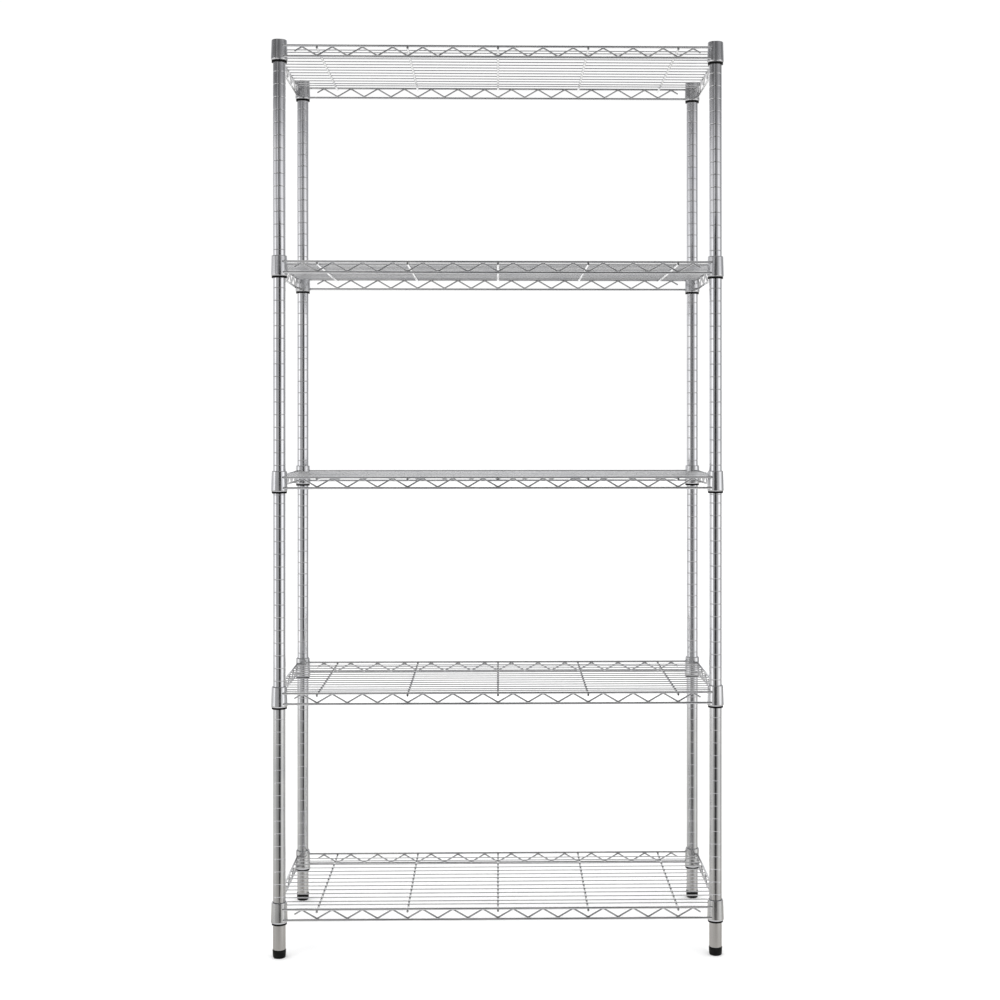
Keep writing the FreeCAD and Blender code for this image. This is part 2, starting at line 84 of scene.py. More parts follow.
# wires
RAIL_RADIUS = 2.5 * MM
RAIL_OUTSET = 11.5 * MM
RIB_RADIUS = 2.3 * MM
DECK_RADIUS = 1.25 * MM
ZIGZAG_RADIUS = 1.7 * MM
ZIGZAG_PITCH = 60.33 * MM
ZIGZAG_BEND = 5.0 * MM
FRONT_WAVES = 6
SIDE_WAVES = 2
DECK_PITCH = 26.0 * MM
DECK_PAIRS = 6
RIB_COUNT = 5
# Length and radius of the nugget at each kind of weld.
ZIGZAG_NUGGET = (5.5 * MM, 1.35 * MM)
RIB_NUGGET = (5.5 * MM, 1.4 * MM)
DECK_ON_RIB_NUGGET = (4.4 * MM, 0.85 * MM)
DECK_ON_RAIL_NUGGET = (4.2 * MM, 1.2 * MM)

# feet
FOOT_LOW = 12.75 * MM
FOOT_TOP = 13.5 * MM
FOOT_ROUNDING = 2.2 * MM
FLUTES = 24
FLUTE_DEPTH = 0.45 * MM
STUD_RADIUS = 4.75 * MM
THREAD_PITCH = 1.5 * MM
THREAD_DEPTH = 0.75 * MM

SAME_POINT = 0.0001 * MM
SHARP_ANGLE = math.radians(42)
FLOOR_REACH = 30.0


# ---- mesh tools ----------------------------------------------------------------------------


class Shape:
    """The points and faces of a piece while it is being built."""

    def __init__(self):
        self.points = []
        self.faces = []

    def skin(self, sections, closed):
        """Join loops of the same number of points: a ring of them, or a run with flat ends."""
        first = len(self.points)
        size = len(sections[0])
        for section in sections:
            self.points.extend(section)
        spans = len(sections) if closed else len(sections) - 1
        for span in range(spans):
            here = first + span * size
            there = first + (span + 1) % len(sections) * size
            for index in range(size):
                after = (index + 1) % size
                self.faces.append((here + index, here + after, there + after, there + index))
        if not closed:
            last = first + (len(sections) - 1) * size
            self.faces.append(tuple(range(first, first + size)))
            self.faces.append(tuple(range(last, last + size)))


def rounded(outline, radius, steps=3):
    """A closed outline of (radius, height) pairs with its corners rounded, except those on the axis."""
    points = [Vector(point) for point in outline]
    result = []
    for index, corner in enumerate(points):
        before = points[index - 1] - corner
        after = points[(index + 1) % len(points)] - corner
        if corner.x == 0:
            result.append(corner)
            continue
        reach = radius / math.tan(before.angle(after) / 2)
        reach = min(reach, 0.45 * before.length, 0.45 * after.length)
        start = corner + before.normalized() * reach
        end = corner + after.normalized() * reach
        for step in range(steps + 1):
            t = step / steps
            result.append(start * (1 - t) ** 2 + corner * (2 * t * (1 - t)) + end * t**2)
    return result


def turned(shape, axis, outline_at, start=0.0, sweep=FULL_TURN, flats=64):
    """Turn an outline of (radius, height) pairs about an upright axis. outline_at(angle) gives it."""
    closed = sweep == FULL_TURN
    sections = []
    for step in range(flats if closed else flats + 1):
        angle = start + sweep * step / flats
        outward = Vector((math.cos(angle), math.sin(angle), 0))
        sections.append([axis + outward * across + UP * height for across, height in outline_at(angle)])
    shape.skin(sections, closed)


def rod(shape, stations, out, sides):
    """Round sections at stations of (centre, direction, radius). out is at right angles to the path."""
    sections = []
    for centre, direction, radius in stations:
        side = direction.cross(out)
        section = []
        for step in range(sides):
            angle = FULL_TURN * step / sides
            section.append(centre + (side * math.cos(angle) + out * math.sin(angle)) * radius)
        sections.append(section)
    shape.skin(sections, False)


# A sheared and tumbled wire end: distance from the end and width, as shares of the wire's radius.
WIRE_END = ((0.0, 0.72), (0.12, 0.9), (0.4, 1.0))


def wire(shape, path, out, radius, sides=12):
    """A round wire along a path of points in one plane, with slightly rounded ends."""
    first = (path[1] - path[0]).normalized()
    last = (path[-1] - path[-2]).normalized()
    stations = [(path[0] + first * along * radius, first, width * radius) for along, width in WIRE_END]
    for before, point, after in zip(path, path[1:], path[2:]):
        stations.append((point, (after - before).normalized(), radius))
    for along, width in reversed(WIRE_END):
        stations.append((path[-1] - last * along * radius, last, width * radius))
    rod(shape, stations, out, sides)


def nugget(shape, centre, direction, size):
    """The small bulge of metal that a spot weld squeezes out between two wires."""
    length, radius = size
    stations = []
    for share in (-0.98, -0.8, -0.4, 0.0, 0.4, 0.8, 0.98):
        width = math.sqrt(1 - share**2)
        stations.append((centre + direction * (share * length / 2), direction, radius * width))
    rod(shape, stations, direction.orthogonal().normalized(), 8)


def make_piece(name, shape, finish, body, slot, *nodes):
    """Turn a shape into a piece that rides on a body and stands for CAD nodes."""
    mesh = bpy.data.meshes.new(name)
    mesh.from_pydata(shape.points, [], shape.faces)
    built = bmesh.new()
    built.from_mesh(mesh)
    bmesh.ops.remove_doubles(built, verts=built.verts, dist=SAME_POINT)
    bmesh.ops.recalc_face_normals(built, faces=built.faces)
    built.to_mesh(mesh)
    built.free()
    mesh.shade_smooth()
    mesh.set_sharp_from_angle(angle=SHARP_ANGLE)
    mesh.materials.append(finish)
    piece = bpy.data.objects.new(name, mesh)
    bpy.context.scene.collection.objects.link(piece)
    piece.modifiers.new("even_normals", "WEIGHTED_NORMAL").keep_sharp = True
    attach(piece, body)
    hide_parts(*nodes)


def middle(node):
    """The centre of a CAD node's box."""
    low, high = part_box(node)
    return (low + high) / 2


def post_axis(corner):
    """The foot of a corner's post axis, on the floor."""
    centre = middle(f"{corner}_lower_post")
    return Vector((centre.x, centre.y, 0))


# ---- finishes ------------------------------------------------------------------------------


def new_finish(name):
    """A node material with a Principled shader."""
    material = bpy.data.materials.new(name)
    material.use_nodes = True
    return material, material.node_tree, material.node_tree.nodes["Principled BSDF"]


def noise(tree, grains_per_metre, detail=3.0, stretch=(1, 1, 1)):
    """Noise in the object's own space, drawn out along an axis by a small stretch."""
    place = tree.nodes.new("ShaderNodeTexCoord")
    mapping = tree.nodes.new("ShaderNodeMapping")
    mapping.inputs["Scale"].default_value = stretch
    texture = tree.nodes.new("ShaderNodeTexNoise")
    texture.inputs["Scale"].default_value = grains_per_metre
    texture.inputs["Detail"].default_value = detail
    tree.links.new(place.outputs["Object"], mapping.inputs["Vector"])
    tree.links.new(mapping.outputs["Vector"], texture.inputs["Vector"])
    return texture.outputs["Fac"]


def ranged(tree, source, low, high):
    """A noise's middle stretch mapped from low to high."""
    node = tree.nodes.new("ShaderNodeMapRange")
    node.inputs["From Min"].default_value = 0.3
    node.inputs["From Max"].default_value = 0.7
    node.inputs["To Min"].default_value = low
    node.inputs["To Max"].default_value = high
    tree.links.new(source, node.inputs["Value"])
    return node.outputs["Result"]


def tinted(tree, source, dark, light):
    """A colour between dark and light, by a noise."""
    ramp = tree.nodes.new("ShaderNodeValToRGB")
    ramp.color_ramp.elements[0].position = 0.32
    ramp.color_ramp.elements[0].color = (*dark, 1)
    ramp.color_ramp.elements[1].position = 0.68
    ramp.color_ramp.elements[1].color = (*light, 1)
    tree.links.new(source, ramp.inputs["Fac"])
    return ramp.outputs["Color"]


def bumped(tree, shader, *layers):
    """Bump layers of (height source, depth in metres) in a row, into the shader's normal."""
    before = None
    for source, depth in layers:
        bump = tree.nodes.new("ShaderNodeBump")
        bump.inputs["Strength"].default_value = 1.0
        bump.inputs["Distance"].default_value = depth
        tree.links.new(source, bump.inputs["Height"])
        if before:
            tree.links.new(before, bump.inputs["Normal"])
        before = bump.outputs["Normal"]
    tree.links.new(before, shader.inputs["Normal"])


def chrome(name, dark, light, smooth, dull, waves, grain):
    """Plated chrome: a clouded tint, handling marks in the gloss, drawing waves and fine grain."""
    material, tree, shader = new_finish(name)
    shader.inputs["Metallic"].default_value = 1.0
    clouds = noise(tree, 18, 4)
    marks = noise(tree, 90, 5, (1, 1, 0.35))
    tree.links.new(tinted(tree, clouds, dark, light), shader.inputs["Base Color"])
    tree.links.new(ranged(tree, marks, smooth, dull), shader.inputs["Roughness"])
    bumped(tree, shader, (noise(tree, 120, 2, (1, 1, 0.12)), waves), (noise(tree, 1400, 2), grain))
    return material


def moulded(name, dark, light, smooth, dull, grain):
    """Moulded plastic: a faint mottle, uneven gloss and a fine sprayed-steel grain."""
    material, tree, shader = new_finish(name)
    shader.inputs["Specular IOR Level"].default_value = 0.1
    mottle = noise(tree, 160, 4)
    tree.links.new(tinted(tree, mottle, dark, light), shader.inputs["Base Color"])
    tree.links.new(ranged(tree, noise(tree, 420, 3), smooth, dull), shader.inputs["Roughness"])
    bumped(tree, shader, (noise(tree, 2600, 3), grain), (noise(tree, 60, 2), 2 * grain))
    return material


def zinc(name):
    """Zinc plate: cold grey metal with a crystalline mottle and light scratches."""
    material, tree, shader = new_finish(name)
    shader.inputs["Metallic"].default_value = 1.0
    mottle = noise(tree, 340, 5)
    tree.links.new(tinted(tree, mottle, (0.42, 0.44, 0.47), (0.60, 0.61, 0.62)), shader.inputs["Base Color"])
    tree.links.new(ranged(tree, noise(tree, 700, 4), 0.28, 0.46), shader.inputs["Roughness"])
    bumped(tree, shader, (noise(tree, 900, 3, (1, 1, 0.3)), 0.02 * MM))
    return material


CHROME_TUBE = chrome(
    "chrome_tube", (0.61, 0.615, 0.635), (0.69, 0.69, 0.70), 0.07, 0.13, 0.10 * MM, 0.002 * MM
)
CHROME_COLLAR = chrome(
    "chrome_collar", (0.57, 0.575, 0.59), (0.67, 0.67, 0.675), 0.11, 0.23, 0.18 * MM, 0.006 * MM
)
CHROME_WIRE = chrome(
    "chrome_wire", (0.56, 0.565, 0.575), (0.65, 0.65, 0.645), 0.14, 0.26, 0.04 * MM, 0.005 * MM
)
SLEEVE_PLASTIC = moulded(
    "sleeve_plastic", (0.002, 0.002, 0.002), (0.005, 0.005, 0.005), 0.38, 0.52, 0.01 * MM
)
FOOT_PLASTIC = moulded(
    "foot_plastic", (0.003, 0.003, 0.003), (0.008, 0.008, 0.008), 0.30, 0.44, 0.015 * MM
)
CAP_PLASTIC = moulded(
    "cap_plastic", (0.030, 0.030, 0.032), (0.048, 0.048, 0.050), 0.36, 0.50, 0.01 * MM
)
ZINC = zinc("zinc_steel")


# ---- posts ---------------------------------------------------------------------------------


def groove_corners(height):
    """One rolled groove of a post, from below to above."""
    floor = POST_RADIUS - GROOVE_DEPTH
    return [
        (POST_RADIUS, height - GROOVE_MOUTH / 2),
        (floor, height - GROOVE_FLOOR / 2),
        (floor, height + GROOVE_FLOOR / 2),
        (POST_RADIUS, height + GROOVE_MOUTH / 2),
    ]


def make_tube(corner, half):
    """One grooved tube, with softly rolled grooves and deburred ends."""
    node = f"{corner}_{half}_post"
    low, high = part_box(node)
    outline = [(POST_BORE, low.z), (POST_RADIUS, low.z)]
    height = FIRST_GROOVE
    while height < high.z - GROOVE_MOUTH:
        if height > low.z + GROOVE_MOUTH:
            outline += groove_corners(height)
        height += GROOVE_PITCH
    outline += [(POST_RADIUS, high.z), (POST_BORE, high.z)]
    smooth_outline = rounded(outline, GROOVE_SOFTNESS)
    shape = Shape()
    turned(shape, post_axis(corner), lambda angle: smooth_outline, flats=48)
    make_piece(f"{corner}_{half}_tube", shape, CHROME_TUBE, "posts", "chrome_tube", node)


def make_caps():
    """The four caps: a low crowned flange over a hollow plug."""
    low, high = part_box("post_caps")
    rim = high.z - CAP_FLANGE
    plug = POST_BORE - CAP_GAP
    crown = [(0, high.z)]
    for share in (0.3, 0.55, 0.75, 0.88, 0.96):
        crown.append((share * POST_RADIUS, high.z - 0.6 * CAP_FLANGE * share**4))
    inside = [
        (POST_RADIUS, rim + 0.1 * MM),
        (POST_RADIUS, rim),
        (plug, rim),
        (plug, low.z),
        (plug - CAP_WALL, low.z),
        (plug - CAP_WALL, rim - CAP_WALL),
        (0, rim - CAP_WALL),
    ]
    shape = Shape()
    for corner in CORNERS:
        turned(shape, post_axis(corner), lambda angle: crown + inside)
    make_piece("crowned_caps", shape, CAP_PLASTIC, "posts", "cap_plastic", "post_caps")


# ---- sleeves and collars -------------------------------------------------------------------


def make_sleeves(shelf, side):
    """The split sleeves of one side: a front and a rear half on each post."""
    node = f"{shelf}_{side}_sleeves"
    low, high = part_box(node)
    lip_top = low.z + LIP_HEIGHT
    outline = [
        (SLEEVE_BORE, low.z),
        (LIP_RADIUS, low.z),
        (LIP_RADIUS, lip_top),
        (SLEEVE_LOW, lip_top),
        (SLEEVE_TOP, high.z),
        (SLEEVE_BORE, high.z),
    ]
    smooth_outline = rounded(outline, SLEEVE_EDGE)
    split = SLEEVE_GAP / 2 / SLEEVE_TOP
    shape = Shape()
    for row in ("front", "rear"):
        axis = post_axis(f"{row}_{side}")
        for start in (0, math.pi):
            turned(shape, axis, lambda angle: smooth_outline, start + split, math.pi - 2 * split, 32)
    make_piece(f"{shelf}_{side}_split_sleeves", shape, SLEEVE_PLASTIC, "posts", "sleeve_plastic", node)


def rolled_rim(radius, edge, inset, tall, steps=6):
    """Outline points of a rim rolled in by an inset, from its edge up (or down) to the full radius."""
    points = []
    for step in range(steps + 1):
        turn = math.pi / 2 * step / steps
        points.append((radius - inset * (1 - math.sin(turn)), edge + tall * (1 - math.cos(turn))))
    return points


def make_collars(shelf):
    """The shelf's four tapered collars, their rims rolled in."""
    node = f"{shelf}_collars"
    low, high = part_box(node)
    inset, tall = COLLAR_FOOT
    foot = rolled_rim(COLLAR_LOW, low.z, inset, tall)
    inset, tall = COLLAR_SHOULDER
    shoulder = rolled_rim(COLLAR_TOP, high.z, inset, -tall)
    outline = [(COLLAR_BORE_LOW, low.z)] + foot + shoulder[::-1] + [(COLLAR_BORE_TOP, high.z)]
    shape = Shape()
    for corner in CORNERS:
        turned(shape, post_axis(corner), lambda angle: outline)
    make_piece(f"{shelf}_corner_collars", shape, CHROME_COLLAR, shelf, "chrome_collar", node)


def collar_radius(shelf, height):
    """The outer radius of the shelf's collars at a height."""
    low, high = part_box(f"{shelf}_collars")
    share = (height - low.z) / (high.z - low.z)
    return COLLAR_LOW + share * (COLLAR_TOP - COLLAR_LOW)


# ---- shelf wires ---------------------------------------------------------------------------

# The weld between a rail and a collar, in millimetres: distance out from the collar's surface, and
# the metal built up round the rail there.
WELD = ((-0.5, 0.35), (0.0, 0.3), (0.5, 0.16), (1.2, 0.05), (2.0, 0.0))


def add_rail(shape, collar, centre, along, across, half_span):
    """A straight rail between two collars, its ends coped round them and flared into their welds.

    centre is the middle of the rail, along and across are the directions of the rail and from the
    post axes out to it, and half_span is from centre to the post axes.
    """
    stations = [(-1, *step) for step in WELD] + [(1, *step) for step in reversed(WELD)]
    sections = []
    for end, distance, build_up in stations:
        reach = collar + distance * MM
        radius = RAIL_RADIUS + build_up * MM
        section = []
        for step in range(20):
            angle = FULL_TURN * step / 20
            offset = RAIL_OUTSET + radius * math.cos(angle)
            cope = half_span - math.sqrt(reach**2 - offset**2)
            point = centre + along * (end * cope)
            section.append(point + across * (radius * math.cos(angle)) + UP * (radius * math.sin(angle)))
        sections.append(section)
    shape.skin(sections, False)


def make_rails(shelf, level):
    """The four rails of one level, top or bottom."""
    node = f"{shelf}_{level}_rails"
    low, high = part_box(node)
    height = (low.z + high.z) / 2
    collar = collar_radius(shelf, height)
    post = post_axis("rear_right")
    rail_x = high.x - RAIL_RADIUS
    rail_y = high.y - RAIL_RADIUS
    shape = Shape()
    for side in (-1, 1):
        front = Vector((0, side * rail_y, height))
        add_rail(shape, collar, front, Vector((1, 0, 0)), Vector((0, side, 0)), post.x)
        end = Vector((side * rail_x, 0, height))
        add_rail(shape, collar, end, Vector((0, 1, 0)), Vector((side, 0, 0)), post.y)
    make_piece(f"{shelf}_{level}_rail_wires", shape, CHROME_WIRE, shelf, "chrome_wire", node)


def zigzag_line(low, top, waves):
    """Points (along, up) of a zigzag about its middle, with round bends and half-way free ends."""
    low_centre = low + ZIGZAG_BEND
    top_centre = top - ZIGZAG_BEND
    rise = Vector((ZIGZAG_PITCH / 2, top_centre - low_centre))
    slope = math.atan2(rise.y, rise.x) + math.asin(2 * ZIGZAG_BEND / rise.length)
    end = (waves + 0.75) * ZIGZAG_PITCH
    points = [(-end, (low + top) / 2)]
    for half_wave in range(-2 * waves - 1, 2 * waves + 2):
        crest = half_wave % 2 == 1
        centre = top_centre if crest else low_centre
        upward = 1 if crest else -1
        for step in range(-3, 4):
            tilt = slope * step / 3
            along = half_wave * ZIGZAG_PITCH / 2 + ZIGZAG_BEND * math.sin(tilt)
            points.append((along, centre + upward * ZIGZAG_BEND * math.cos(tilt)))
    points.append((end, (low + top) / 2))
    return points


def zigzag_welds(shape, shelf, plane, inset, along, waves, low, top):
    """Weld nuggets where the zigzag's bends touch the rails.

    plane is the middle of the zigzag's plane at floor height, inset is from there out to the rails,
    and low and top are the heights of the zigzag's bends.
    """
    share = ZIGZAG_RADIUS / (ZIGZAG_RADIUS + RAIL_RADIUS)
    for level, bend in (("bottom", low), ("top", top)):
        rail = middle(f"{shelf}_{level}_rails").z
        contact = plane + inset * share + UP * (bend + (rail - bend) * share)
        first = 1 if level == "top" else 0
        for half_wave in range(-2 * waves - first, 2 * waves + first + 1, 2):
            nugget(shape, contact + along * (half_wave * ZIGZAG_PITCH / 2), along, ZIGZAG_NUGGET)


def make_zigzags(shelf):
    """The bent wires between the rails of all four sides, and their welds."""
    node = f"{shelf}_zigzag_wires"
    low_corner, high_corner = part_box(node)
    low = low_corner.z + ZIGZAG_RADIUS
    top = high_corner.z - ZIGZAG_RADIUS
    rail_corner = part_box(f"{shelf}_top_rails")[1]
    shape = Shape()
    for waves, along, across, distance, rail in (
        (FRONT_WAVES, Vector((1, 0, 0)), Vector((0, 1, 0)), high_corner.y, rail_corner.y),
        (SIDE_WAVES, Vector((0, 1, 0)), Vector((1, 0, 0)), high_corner.x, rail_corner.x),
    ):
        distance -= ZIGZAG_RADIUS
        inset = rail - RAIL_RADIUS - distance
        line = zigzag_line(low, top, waves)
        for side in (-1, 1):
            outward = across * side
            plane = outward * distance
            path = [plane + along * x + UP * z for x, z in line]
            wire(shape, path, outward, ZIGZAG_RADIUS)
            zigzag_welds(shape, shelf, plane, outward * inset, along, waves, low, top)
    make_piece(f"{shelf}_zigzag_trusses", shape, CHROME_WIRE, shelf, "chrome_wire", node)


def rib_places(shelf):
    """Where the cross ribs lie, from left to right."""
    low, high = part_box(f"{shelf}_cross_ribs")
    first = low.x + RIB_RADIUS
    pitch = (high.x - RIB_RADIUS - first) / (RIB_COUNT - 1)
    return [first + pitch * index for index in range(RIB_COUNT)]


def make_ribs(shelf):
    """The heavy wires under the deck, and their welds to the front and rear rails."""
    node = f"{shelf}_cross_ribs"
    low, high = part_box(node)
    height = (low.z + high.z) / 2
    rail_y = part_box(f"{shelf}_top_rails")[1].y - RAIL_RADIUS
    shape = Shape()
    for x in rib_places(shelf):
        ends = [Vector((x, low.y, height)), Vector((x, 0, height)), Vector((x, high.y, height))]
        wire(shape, ends, UP, RIB_RADIUS, 16)
        for side in (-1, 1):
            contact = Vector((x, side * rail_y, high.z - 0.1 * MM))
            nugget(shape, contact, Vector((1, 0, 0)), RIB_NUGGET)
    make_piece(f"{shelf}_rib_wires", shape, CHROME_WIRE, shelf, "chrome_wire", node)


def make_deck(shelf):
    """The thin wires of the deck, and their welds to the ribs and the side rails."""
    node = f"{shelf}_deck_wires"
    low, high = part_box(node)
    height = (low.z + high.z) / 2
    rows = [DECK_PITCH * (index + 0.5) for index in range(DECK_PAIRS)] + [high.y - DECK_RADIUS]
    shape = Shape()
    for y in [-row for row in rows] + rows:
        ends = [Vector((low.x, y, height)), Vector((0, y, height)), Vector((high.x, y, height))]
        wire(shape, ends, UP, DECK_RADIUS, 12)
        for x in rib_places(shelf):
            nugget(shape, Vector((x, y, low.z + 0.15 * MM)), Vector((1, 0, 0)), DECK_ON_RIB_NUGGET)
        for x in (low.x + 0.4 * MM, high.x - 0.4 * MM):
            nugget(shape, Vector((x, y, height + 0.2 * MM)), Vector((0, 1, 0)), DECK_ON_RAIL_NUGGET)
    make_piece(f"{shelf}_deck_rods", shape, CHROME_WIRE, shelf, "chrome_wire", node)


# ---- feet ----------------------------------------------------------------------------------


def make_foot_pad(corner):
    """The moulded pad, with shallow grip flutes round its waist and a socket for the stud."""
    node = f"{corner}_foot_pad"
    low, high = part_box(node)
    tall = high.z - low.z
    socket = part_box(f"{corner}_foot_stud")[0].z

    def outline_at(angle):
        cut = FLUTE_DEPTH * (0.5 + 0.5 * math.cos(FLUTES * angle)) ** 0.7
        side = []
        for share, fluted in ((0.2, 0), (0.27, 1), (0.74, 1), (0.81, 0), (0.94, 0)):
            radius = FOOT_LOW + (FOOT_TOP - FOOT_LOW) * share
            side.append((radius - cut * fluted, low.z + tall * share))
        rim = [(FOOT_TOP - 0.25 * MM, high.z - 0.25 * MM), (FOOT_TOP - 0.8 * MM, high.z)]
        sole = [(0, low.z)] + rolled_rim(FOOT_LOW, low.z, FOOT_ROUNDING, FOOT_ROUNDING)
        return sole + side + rim + [(STUD_RADIUS, high.z), (STUD_RADIUS, socket), (0, socket)]

    shape = Shape()
    turned(shape, post_axis(corner), outline_at, flats=8 * FLUTES)
    make_piece(f"{corner}_fluted_pad", shape, FOOT_PLASTIC, f"{corner}_foot", "foot_plastic", node)


def make_foot_stud(corner):
    """The steel stud with its screw thread."""
    node = f"{corner}_foot_stud"
    low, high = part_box(node)
    steps = round((high.z - low.z) / (THREAD_PITCH / 6))
    rise = (high.z - low.z) / steps

    def outline_at(angle):
        outline = [(0, low.z)]
        for step in range(steps + 1):
            phase = (step * rise / THREAD_PITCH - angle / FULL_TURN) % 1
            tooth = THREAD_DEPTH * abs(2 * phase - 1)
            lead = max(0, 4 - step, step - steps + 4) * 0.2 * MM
            outline.append((STUD_RADIUS - max(tooth, lead), low.z + step * rise))
        return outline + [(0, high.z)]

    shape = Shape()
    turned(shape, post_axis(corner), outline_at, flats=24)
    make_piece(f"{corner}_threaded_stud", shape, ZINC, f"{corner}_foot", "zinc_steel", node)


# ---- studio --------------------------------------------------------------------------------

# What the chrome reflects: the brightness of the studio's walls by compass angle from the front
# (degrees to the right), in bands from the floor up. Two tall soft boxes stand left and right of a
# dim room, with a narrow lamp inside the left one, and a bright backdrop hangs behind the rack.
LOW_WALLS = (
    (-180, 1.3),
    (-150, 0.9),
    (-120, 0.74),
    (-90, 0.74),
    (-65, 0.72),
    (-46, 0.5),
    (-25, 0.42),
    (-10, 0.3),
    (10, 0.22),
    (28, 0.5),
    (48, 0.8),
    (70, 0.98),
    (92, 0.6),
    (122, 0.55),
    (150, 0.9),
    (180, 1.3),
)
EYE_LEVEL_WALLS = (
    (-180, 1.5),
    (-150, 1.1),
    (-120, 0.87),
    (-92, 0.8),
    (-70, 1.65),
    (-60, 1.65),
    (-48, 0.55),
    (-25, 0.54),
    (-8, 0.48),
    (25, 0.45),
    (38, 0.7),
    (52, 1.25),
    (70, 1.7),
    (80, 1.15),
    (92, 0.8),
    (122, 0.3),
    (148, 0.9),
    (180, 1.5),
)
UPPER_WALLS = (
    (-180, 1.5),
    (-150, 0.9),
    (-120, 0.6),
    (-90, 1.05),
    (-65, 0.85),
    (-47, 0.52),
    (-34, 0.5),
    (-27, 1.4),
    (-20, 0.5),
    (-8, 0.26),
    (6, 0.28),
    (20, 0.42),
    (45, 1.15),
    (66, 1.2),
    (80, 0.8),
    (93, 0.45),
    (122, 0.5),
    (150, 0.9),
    (180, 1.5),
)
HIGH_WALLS = (
    (-180, 1.5),
    (-150, 0.7),
    (-120, 0.35),
    (-90, 0.2),
    (-65, 0.16),
    (-45, 0.14),
    (-33, 0.18),
    (-27, 0.5),
    (-20, 0.18),
    (-5, 0.17),
    (15, 0.22),
    (30, 0.31),
    (48, 0.38),
    (68, 0.42),
    (92, 0.22),
    (125, 0.4),
    (150, 0.8),
    (180, 1.5),
)
# Each band takes over as the height on the unit sphere goes from the first to the second of a pair.
# The dim floor ends in the white paper under the rack.
UPPER_FADE = (0.1, 0.15)
HIGH_FADE = (0.17, 0.215)
CEILING_FADE = (0.94, 0.995)
LOW_FADE = (-0.16, -0.2)
FLOOR_FADE = (-0.25, -0.34)
PAPER_FADE = (-0.42, -0.62)
CEILING_LIGHT = (1.5, 1.5, 1.5, 1)
FLOOR_SHADE = (0.54, 0.515, 0.475, 1)
PAPER_SHADE = (1.05, 1.05, 1.07, 1)


def wall_ramp(tree, compass, walls, coolness):
    """The brightness of one band of walls at a compass angle."""
    ramp = tree.nodes.new("ShaderNodeValToRGB")
    ramp.color_ramp.interpolation = "EASE"
    elements = ramp.color_ramp.elements
    elements[1].position = 1.0
    for degrees, brightness in walls:
        position = (degrees + 180) / 360
        if position == 0:
            element = elements[0]
        elif position == 1:
            element = elements[len(elements) - 1]
        else:
            element = elements.new(position)
        element.color = (brightness, brightness, brightness * coolness, 1)
    tree.links.new(compass, ramp.inputs["Fac"])
    return ramp.outputs["Color"]


def faded(tree, height, fade, below, above):
    """A blend from one colour to another as the height of the direction passes through a fade."""
    blend = tree.nodes.new("ShaderNodeMapRange")
    blend.interpolation_type = "SMOOTHSTEP"
    blend.inputs["From Min"].default_value = fade[0]
    blend.inputs["From Max"].default_value = fade[1]
    tree.links.new(height, blend.inputs["Value"])
    mix = tree.nodes.new("ShaderNodeMix")
    mix.data_type = "RGBA"
    tree.links.new(blend.outputs["Result"], mix.inputs["Factor"])
    tree.links.new(below, mix.inputs["A"])
    if isinstance(above, tuple):
        mix.inputs["B"].default_value = above
    else:
        tree.links.new(above, mix.inputs["B"])
    return mix.outputs["Result"]


def studio_reflection(tree):
    """The colour of the studio in a direction: walls round about, a ceiling light and a floor."""
    nodes, links = tree.nodes, tree.links
    direction = nodes.new("ShaderNodeTexCoord")
    parts = nodes.new("ShaderNodeSeparateXYZ")
    links.new(direction.outputs["Generated"], parts.inputs["Vector"])
    height = parts.outputs["Z"]

    forward = nodes.new("ShaderNodeMath")
    forward.operation = "MULTIPLY"
    forward.inputs[1].default_value = -1
    links.new(parts.outputs["Y"], forward.inputs[0])
    bearing = nodes.new("ShaderNodeMath")
    bearing.operation = "ARCTAN2"
    links.new(parts.outputs["X"], bearing.inputs[0])
    links.new(forward.outputs["Value"], bearing.inputs[1])
    compass = nodes.new("ShaderNodeMapRange")
    compass.inputs["From Min"].default_value = -math.pi
    compass.inputs["From Max"].default_value = math.pi
    links.new(bearing.outputs["Value"], compass.inputs["Value"])

    colour = wall_ramp(tree, compass.outputs["Result"], EYE_LEVEL_WALLS, 1.01)
    for fade, walls, coolness in (
        (UPPER_FADE, UPPER_WALLS, 1.02),
        (HIGH_FADE, HIGH_WALLS, 1.02),
        (LOW_FADE, LOW_WALLS, 0.97),
    ):
        band = wall_ramp(tree, compass.outputs["Result"], walls, coolness)
        colour = faded(tree, height, fade, colour, band)
    colour = faded(tree, height, CEILING_FADE, colour, CEILING_LIGHT)
    colour = faded(tree, height, FLOOR_FADE, colour, FLOOR_SHADE)
    return faded(tree, height, PAPER_FADE, colour, PAPER_SHADE)


def make_world():
    """White paper all round for the camera, soft light, and the studio for glossy surfaces."""
    world = bpy.data.worlds.new("studio")
    bpy.context.scene.world = world
    world.use_nodes = True
    nodes, links = world.node_tree.nodes, world.node_tree.links
    rays = nodes.new("ShaderNodeLightPath")
    paper = nodes.new("ShaderNodeMix")
    paper.data_type = "RGBA"
    paper.inputs["A"].default_value = (1.25, 1.25, 1.25, 1)
    paper.inputs["B"].default_value = (1.03, 1.03, 1.03, 1)
    links.new(rays.outputs["Is Camera Ray"], paper.inputs["Factor"])
    studio = nodes.new("ShaderNodeMix")
    studio.data_type = "RGBA"
    links.new(rays.outputs["Is Glossy Ray"], studio.inputs["Factor"])
    links.new(paper.outputs["Result"], studio.inputs["A"])
    links.new(studio_reflection(world.node_tree), studio.inputs["B"])
    links.new(studio.outputs["Result"], nodes["Background"].inputs["Color"])


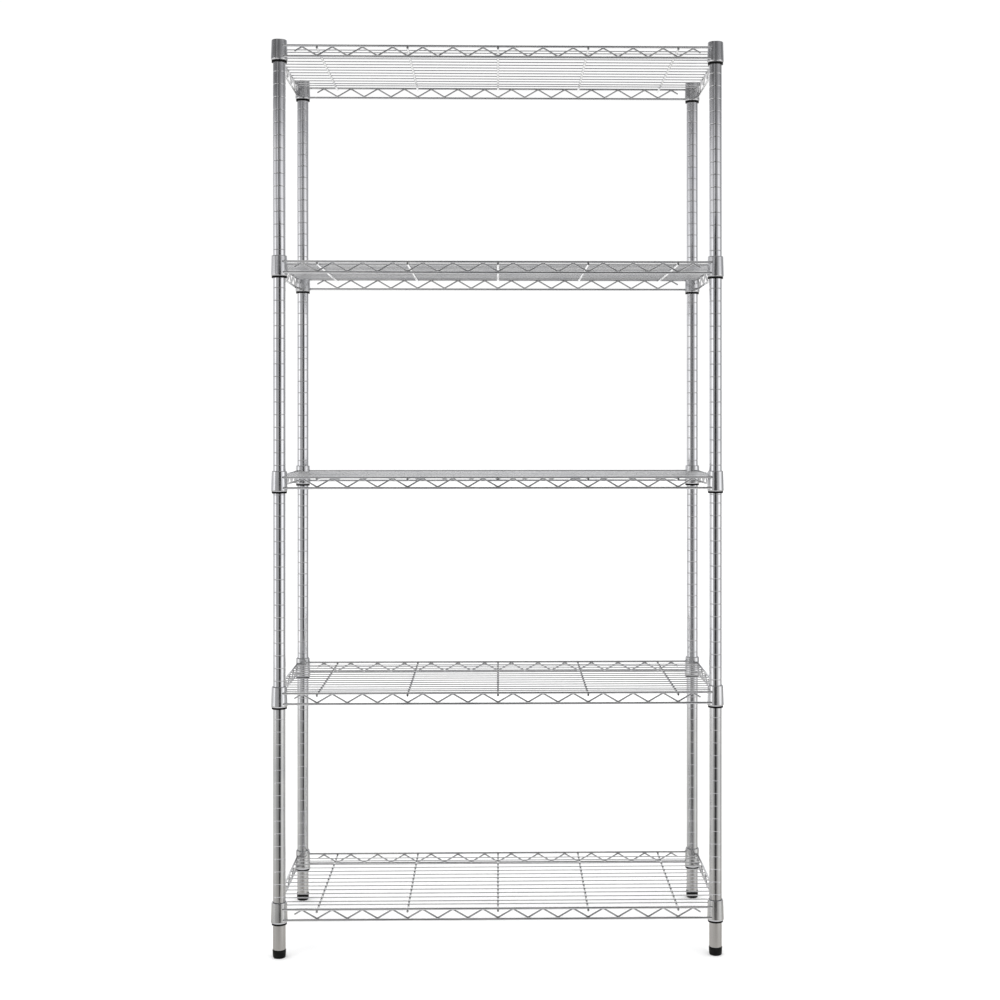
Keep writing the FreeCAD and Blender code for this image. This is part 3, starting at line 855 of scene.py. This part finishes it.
def stage_sheet(name, centre, right, up, material):
    """A flat sheet of the set, from its middle and half its width and height as vectors."""
    corners = [centre + right * x + up * y for x, y in ((-1, -1), (1, -1), (1, 1), (-1, 1))]
    mesh = bpy.data.meshes.new(name)
    mesh.from_pydata(corners, [], [(0, 1, 2, 3)])
    mesh.materials.append(material)
    sheet = bpy.data.objects.new(name, mesh)
    bpy.context.scene.collection.objects.link(sheet)
    return sheet


def make_floor():
    """A wide white floor, which the chrome does not show."""
    material, tree, shader = new_finish("floor_paper")
    shader.inputs["Specular IOR Level"].default_value = 0.0
    shader.inputs["Roughness"].default_value = 0.9
    mottle = tinted(tree, noise(tree, 2, 3), (0.975, 0.975, 0.975), (0.985, 0.985, 0.985))
    tree.links.new(mottle, shader.inputs["Base Color"])
    right = Vector((FLOOR_REACH, 0, 0))
    back = Vector((0, FLOOR_REACH, 0))
    floor = stage_sheet("floor", Vector((0, 0, 0)), right, back, material)
    floor.visible_glossy = False


def make_dark_card():
    """A black card in front of the rack that only the chrome sees, as a dark line along the posts.

    It reaches below the floor, so that the line runs on down to the lowest collars.
    """
    material, tree, shader = new_finish("black_card")
    shader.inputs["Base Color"].default_value = (0.045, 0.045, 0.045, 1)
    shader.inputs["Specular IOR Level"].default_value = 0.0
    card_middle = Vector((0.17, -2.0, 0.62))
    card = stage_sheet("dark_card", card_middle, Vector((0.58, 0, 0)), Vector((0, 0, 1.1)), material)
    card.visible_camera = False
    card.visible_diffuse = False
    card.visible_shadow = False


def make_soft_light(name, place, aim, wide, tall, watts):
    """A large soft box that lights the floor and plastic, and that the chrome does not show."""
    light = bpy.data.lights.new(name, "AREA")
    light.shape = "RECTANGLE"
    light.size = wide
    light.size_y = tall
    light.energy = watts
    box = bpy.data.objects.new(name, light)
    box.location = place
    box.rotation_euler = (Vector(aim) - Vector(place)).to_track_quat("-Z", "Y").to_euler()
    box.visible_camera = False
    box.visible_glossy = False
    bpy.context.scene.collection.objects.link(box)


def make_camera():
    """The camera stands a little to the left, level, a bit above half the rack's height."""
    data = bpy.data.cameras.new("camera")
    data.sensor_width = 36
    data.lens = 54.99
    data.shift_x = -0.0283
    data.shift_y = -0.0791
    camera = bpy.data.objects.new("camera", data)
    camera.location = (0.0, -3.2584, 1.0753)
    camera.rotation_euler = (math.pi / 2, 0, math.radians(-1.136))
    bpy.context.scene.collection.objects.link(camera)
    bpy.context.scene.camera = camera


# ---- build ---------------------------------------------------------------------------------

for corner in CORNERS:
    make_tube(corner, "lower")
    make_tube(corner, "upper")
    make_foot_pad(corner)
    make_foot_stud(corner)
make_caps()
for shelf in SHELVES:
    make_sleeves(shelf, "left")
    make_sleeves(shelf, "right")
    make_collars(shelf)
    make_rails(shelf, "top")
    make_rails(shelf, "bottom")
    make_zigzags(shelf)
    make_ribs(shelf)
    make_deck(shelf)
for node in ("post_couplers", "coupler_nuts", "foot_inserts"):
    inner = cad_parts[node]
    inner.data.materials.clear()
    inner.data.materials.append(ZINC)

make_world()
make_floor()
make_dark_card()
make_soft_light("soft_box_left", (-2.6, -2.4, 2.4), (0, 0, 0.9), 1.2, 2.0, 12)
make_soft_light("soft_box_right", (2.8, -2.2, 2.4), (0, 0, 0.9), 1.2, 2.0, 12)
make_camera()
bpy.context.scene.view_settings.view_transform = "Standard"
